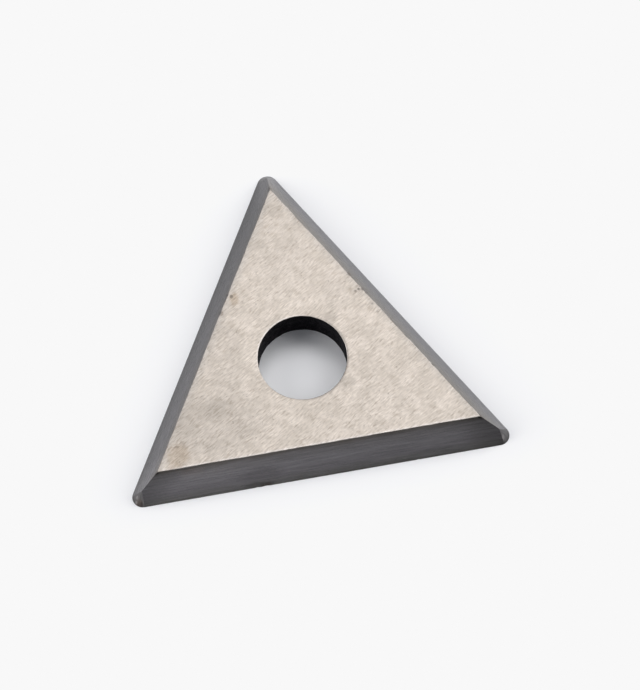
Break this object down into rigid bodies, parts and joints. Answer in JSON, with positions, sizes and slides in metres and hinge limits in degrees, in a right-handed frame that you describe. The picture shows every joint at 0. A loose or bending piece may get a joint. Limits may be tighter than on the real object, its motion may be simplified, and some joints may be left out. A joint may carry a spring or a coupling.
{
  "type": "scraper blade",
  "caption": "Flat triangular scraper blade of solid carbide with relief-ground flanks, rounded tips and a plain central screw hole.",
  "frame": {"origin": "centre of the screw hole on the larger face, which the blade lies on", "axes": "+Z along the hole from the larger face to the smaller one, +X along one cutting edge, +Y from that edge to the opposite tip"},
  "size_m": [0.025, 0.0218, 0.0024],
  "materials": {
    "ground_carbide": "ground, with fine straight scratches on the faces and along the flanks"
  },
  "bodies": {
    "root": {"scraper_blade": "ground_carbide"}
  },
  "joints": []
}
